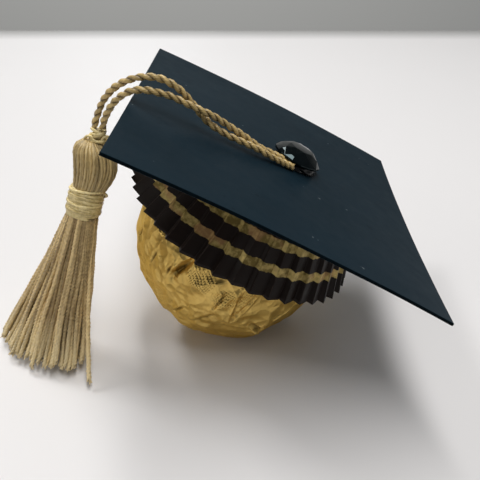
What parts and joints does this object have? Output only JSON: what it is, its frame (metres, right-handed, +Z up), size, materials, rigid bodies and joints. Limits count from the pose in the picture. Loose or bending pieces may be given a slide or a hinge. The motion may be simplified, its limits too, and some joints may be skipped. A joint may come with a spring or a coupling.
{
  "type": "graduation cap favour",
  "caption": "Miniature graduation cap favour: a square card on an upturned pleated cup over a foil-wrapped round sweet, with a gem button and a swinging corded tassel.",
  "frame": {"origin": "centre of the flat spot that the sweet stands on", "axes": "+Z up from the surface it stands on; +X the way that the cap leans; +Y towards the back of the card"},
  "size_m": [0.073, 0.0516, 0.0469],
  "materials": {
    "gold_foil": "crinkled satin foil",
    "chocolate": "satin",
    "wafer": "dry matte",
    "cream": "soft satin",
    "nut": "matte",
    "cup_paper": "waxed, with two gold bands",
    "glue": "clear set glue",
    "black_card": "matte fibre",
    "gem": "polished facets",
    "gold_cord": "satin twisted cord",
    "gold_thread": "satin thread",
    "binding_thread": "bright satin thread"
  },
  "bodies": {
    "sweet": {"foil_wrapper": "gold_foil", "chocolate_coating": "chocolate", "wafer_shell_upper": "wafer", "wafer_shell_lower": "wafer", "cream_filling": "cream", "hazelnut": "nut"},
    "cap": {"paper_cup": "cup_paper", "glue_disc_card": "glue", "mortarboard_card": "black_card", "glue_drop_gem": "glue", "gem_button": "gem", "cord_outer_leg": "gold_cord", "cord_inner_leg": "gold_cord"},
    "tie": {"tassel_tie_knot": "gold_thread"},
    "tassel": {"tassel_head": "gold_thread", "tassel_neck_binding": "binding_thread", "tassel_skirt": "gold_thread"}
  },
  "joints": [
    {"name": "cap_lift", "type": "slide", "parent": "sweet", "child": "cap", "axis": [0.4695, 0, 0.8829], "range_m": [0, 0.012]},
    {"name": "tassel_swing", "type": "hinge", "parent": "cap", "child": "tie", "pos_m": [-0.0204, -0.00195, 0.0368], "axis": [0, 1, 0], "range_deg": [0, 45]},
    {"name": "tassel_sway", "type": "hinge", "parent": "tie", "child": "tassel", "pos_m": [-0.0204, -0.00195, 0.0368], "axis": [1, 0, 0], "range_deg": [-25, 35]}
  ]
}
